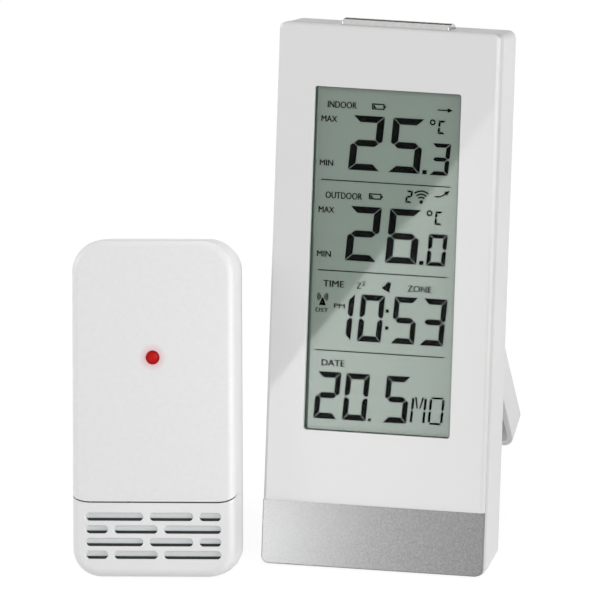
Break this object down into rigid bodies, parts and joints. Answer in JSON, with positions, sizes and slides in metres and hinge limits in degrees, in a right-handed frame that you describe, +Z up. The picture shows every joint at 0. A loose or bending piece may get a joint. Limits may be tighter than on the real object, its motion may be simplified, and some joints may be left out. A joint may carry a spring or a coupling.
{
  "type": "tabletop weather station set",
  "caption": "Desktop weather station: slim display console leaning on a fold-out leg, with a wireless outdoor temperature sensor beside it",
  "frame": {"origin": "on the table, under the middle of the box round the whole set", "axes": "+X to the right of the display, +Y from the display back to its leg, +Z up"},
  "size_m": [0.1382, 0.1172, 0.161],
  "materials": {
    "face_plastic": "high gloss white",
    "display_glass": "clear gloss window",
    "silver": "fine blasted silver",
    "white_plastic": "satin white moulding",
    "frame_plastic": "satin white moulding",
    "lcd": "grey-green reflective display",
    "diffuser": "milky light guide",
    "rubber": "matt",
    "board": "solder mask",
    "ferrite": "matt dark",
    "copper": "enamelled wire",
    "contact_metal": "nickel plated",
    "dark_plastic": "satin black",
    "cell_jacket": "plain printed sleeve",
    "steel": "zinc plated",
    "chrome": "satin chrome",
    "button_plastic": "satin light grey",
    "red_lens": "red translucent lens"
  },
  "bodies": {
    "console": {"front_plate": "face_plastic", "display_window": "display_glass", "silver_trim": "silver", "front_frame": "frame_plastic", "rear_case": "white_plastic", "lcd_panel": "lcd", "display_backlight": "diffuser", "display_connector": "rubber", "circuit_board": "board", "snooze_board": "board", "clock_antenna_rod": "ferrite", "clock_antenna_coil": "copper", "receiver_module": "board", "receiver_antenna": "contact_metal", "buzzer": "dark_plastic", "room_thermistor": "dark_plastic", "battery_1": "cell_jacket", "battery_2": "cell_jacket", "battery_contact_bridge": "contact_metal", "battery_contact_minus": "contact_metal", "battery_contact_plus": "contact_metal", "leg_pin": "steel", "case_screw_1": "steel", "case_screw_2": "steel", "case_screw_3": "steel", "case_screw_4": "steel"},
    "leg": {"stand_leg": "white_plastic"},
    "battery_cover": {"battery_cover": "white_plastic"},
    "snooze_bar": {"snooze_bar": "chrome"},
    "button_mode": {"button_mode": "button_plastic"},
    "button_alarm": {"button_alarm": "button_plastic"},
    "button_memory": {"button_memory": "button_plastic"},
    "button_up": {"button_up": "button_plastic"},
    "button_down": {"button_down": "button_plastic"},
    "button_channel": {"button_channel": "button_plastic"},
    "sensor": {"sensor_cover": "white_plastic", "sensor_vent_cap": "white_plastic", "sensor_back_case": "white_plastic", "sensor_gasket": "rubber", "sensor_led": "red_lens", "sensor_board": "board", "sensor_thermistor": "dark_plastic", "sensor_antenna": "contact_metal", "sensor_battery_1": "cell_jacket", "sensor_battery_2": "cell_jacket", "sensor_battery_contact_bridge": "contact_metal", "sensor_battery_contact_minus": "contact_metal", "sensor_battery_contact_plus": "contact_metal", "sensor_stand_pin": "steel", "sensor_screw_1": "steel", "sensor_screw_2": "steel", "sensor_screw_3": "steel", "sensor_screw_4": "steel"},
    "sensor_stand": {"sensor_stand": "white_plastic"},
    "sensor_battery_cover": {"sensor_battery_cover": "white_plastic"},
    "channel_switch": {"channel_switch": "dark_plastic"},
    "transmit_button": {"transmit_button": "dark_plastic"}
  },
  "joints": [
    {"name": "leg_fold", "type": "hinge", "parent": "console", "child": "leg", "pos_m": [0.03215, 0.0218, 0.10233], "axis": [1, 0, 0], "range_deg": [-41.7, 0]},
    {"name": "snooze_press", "type": "slide", "parent": "console", "child": "snooze_bar", "axis": [0, -0.3987, -0.9171], "range_m": [0, 0.0008], "stiffness_N_per_m": 800, "springref_m": -0.001},
    {"name": "mode_press", "type": "slide", "parent": "console", "child": "button_mode", "axis": [0, -0.9171, 0.3987], "range_m": [0, 0.0007], "stiffness_N_per_m": 700, "springref_m": -0.001},
    {"name": "alarm_press", "type": "slide", "parent": "console", "child": "button_alarm", "axis": [0, -0.9171, 0.3987], "range_m": [0, 0.0007], "stiffness_N_per_m": 700, "springref_m": -0.001},
    {"name": "memory_press", "type": "slide", "parent": "console", "child": "button_memory", "axis": [0, -0.9171, 0.3987], "range_m": [0, 0.0007], "stiffness_N_per_m": 700, "springref_m": -0.001},
    {"name": "up_press", "type": "slide", "parent": "console", "child": "button_up", "axis": [0, -0.9171, 0.3987], "range_m": [0, 0.0007], "stiffness_N_per_m": 700, "springref_m": -0.001},
    {"name": "down_press", "type": "slide", "parent": "console", "child": "button_down", "axis": [0, -0.9171, 0.3987], "range_m": [0, 0.0007], "stiffness_N_per_m": 700, "springref_m": -0.001},
    {"name": "channel_press", "type": "slide", "parent": "console", "child": "button_channel", "axis": [0, -0.9171, 0.3987], "range_m": [0, 0.0007], "stiffness_N_per_m": 700, "springref_m": -0.001},
    {"name": "battery_cover_lift", "type": "slide", "parent": "console", "child": "battery_cover", "axis": [0, 0.9171, -0.3987], "range_m": [0, 0.06]},
    {"name": "sensor_lift", "type": "slide", "parent": "console", "child": "sensor", "axis": [0, 0, 1], "range_m": [0, 0.15]},
    {"name": "sensor_stand_fold", "type": "hinge", "parent": "sensor", "child": "sensor_stand", "pos_m": [-0.04036, -0.02059, 0.03563], "axis": [0.9925, 0.1219, 0], "range_deg": [-42, 0]},
    {"name": "sensor_battery_cover_lift", "type": "slide", "parent": "sensor", "child": "sensor_battery_cover", "axis": [-0.1091, 0.8883, -0.4462], "range_m": [0, 0.06]},
    {"name": "channel_slide", "type": "slide", "parent": "sensor", "child": "channel_switch", "axis": [-0.0544, 0.4429, 0.8949], "range_m": [-0.002, 0.002]},
    {"name": "transmit_press", "type": "slide", "parent": "sensor", "child": "transmit_button", "axis": [0.1091, -0.8883, 0.4462], "range_m": [0, 0.0006], "stiffness_N_per_m": 500, "springref_m": -0.001}
  ]
}
